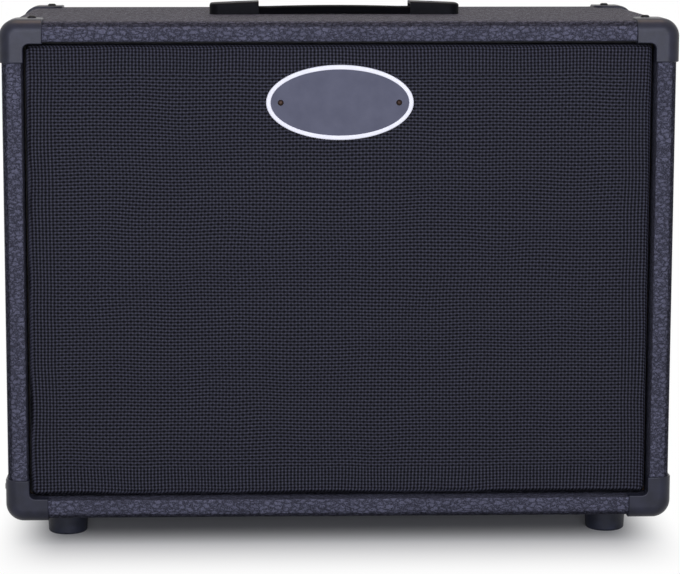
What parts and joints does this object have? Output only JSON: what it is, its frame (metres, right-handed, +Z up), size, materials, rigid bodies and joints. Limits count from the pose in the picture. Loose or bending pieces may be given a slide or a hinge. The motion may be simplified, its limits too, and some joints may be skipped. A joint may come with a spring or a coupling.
{
  "type": "guitar speaker cabinet",
  "caption": "Closed guitar speaker cabinet: vinyl-covered box with corner protectors, recessed cloth grille, bare oval badge, strap handle, rubber feet and a jack at the back.",
  "frame": {"origin": "on the floor under the middle of the cabinet", "axes": "+X to the viewer's right, +Y from the grille to the back, +Z up"},
  "size_m": [0.5154, 0.2576, 0.41],
  "materials": {
    "panel_board": "raw plywood",
    "black_vinyl": "leather-grained vinyl",
    "corner_plastic": "satin moulded",
    "black_screw": "blackened",
    "foot_rubber": "matte",
    "handle_plastic": "satin moulded",
    "strap_rubber": "satin",
    "spring_steel": "plain",
    "plated_steel": "zinc plated",
    "frame_wood": "painted black",
    "grille_fabric": "open weave",
    "fastener_pad": "hook and loop",
    "badge_face": "moulded, white rim",
    "badge_pin": "darkened",
    "baffle_wood": "painted black",
    "rear_wood": "black covering",
    "basket_steel": "black enamel",
    "gasket_fibre": "pressed fibre",
    "cone_paper": "pressed paper pulp",
    "edge_paper": "doped paper",
    "spider_cloth": "resin-treated cloth",
    "former_film": "polyimide film",
    "copper_wire": "enamelled copper",
    "ferrite": "sintered ceramic",
    "terminal_fibre": "phenolic board",
    "tin_plate": "tinned",
    "jack_plate_paint": "black powder coat",
    "jack_plastic": "moulded",
    "nickel_nut": "nickel plated",
    "lead_insulation": "flexible"
  },
  "bodies": {
    "cabinet": {"top_panel": "panel_board", "bottom_panel": "panel_board", "left_panel": "panel_board", "right_panel": "panel_board", "vinyl_covering": "black_vinyl", "baffle_battens": "panel_board", "rear_battens": "panel_board", "baffle_board": "baffle_wood", "baffle_screws": "black_screw", "rear_panel": "rear_wood", "rear_panel_screws": "black_screw", "corner_front_top_right": "corner_plastic", "corner_front_top_left": "corner_plastic", "corner_rear_top_right": "corner_plastic", "corner_rear_top_left": "corner_plastic", "corner_front_bottom_right": "corner_plastic", "corner_front_bottom_left": "corner_plastic", "corner_rear_bottom_right": "corner_plastic", "corner_rear_bottom_left": "corner_plastic", "corner_screws": "black_screw", "foot_front_left": "foot_rubber", "foot_front_right": "foot_rubber", "foot_rear_left": "foot_rubber", "foot_rear_right": "foot_rubber", "foot_washers": "plated_steel", "foot_screws": "plated_steel", "handle_cap_left": "handle_plastic", "handle_cap_right": "handle_plastic", "handle_screws": "black_screw", "tee_nuts": "plated_steel", "hook_pads": "fastener_pad", "speaker_basket": "basket_steel", "speaker_gasket": "gasket_fibre", "cone_surround": "edge_paper", "spider": "spider_cloth", "motor_top_plate": "plated_steel", "ceramic_magnet": "ferrite", "motor_yoke": "plated_steel", "terminal_board": "terminal_fibre", "terminal_tabs": "tin_plate", "tinsel_leads": "copper_wire", "speaker_bolts": "black_screw", "jack_plate": "jack_plate_paint", "jack_plate_screws": "black_screw", "input_jack": "jack_plastic", "jack_nut": "nickel_nut", "speaker_leads": "lead_insulation"},
    "strap": {"handle_strap": "strap_rubber", "strap_core": "spring_steel"},
    "grille": {"grille_frame": "frame_wood", "grille_cloth": "grille_fabric", "loop_pads": "fastener_pad", "badge_plate": "badge_face", "badge_fasteners": "badge_pin"},
    "cone": {"speaker_cone": "cone_paper", "dust_cap": "cone_paper", "voice_coil_former": "former_film", "voice_coil_winding": "copper_wire"}
  },
  "joints": [
    {"name": "strap_lift", "type": "slide", "parent": "cabinet", "child": "strap", "axis": [0, 0, 1], "range_m": [0, 0.002]},
    {"name": "grille_pull", "type": "slide", "parent": "cabinet", "child": "grille", "axis": [0, -1, 0], "range_m": [0, 0.06]},
    {"name": "cone_stroke", "type": "slide", "parent": "cabinet", "child": "cone", "axis": [0, -1, 0], "range_m": [-0.003, 0.003], "stiffness_N_per_m": 6000, "deforming": ["cone_surround", "spider", "tinsel_leads"]}
  ]
}
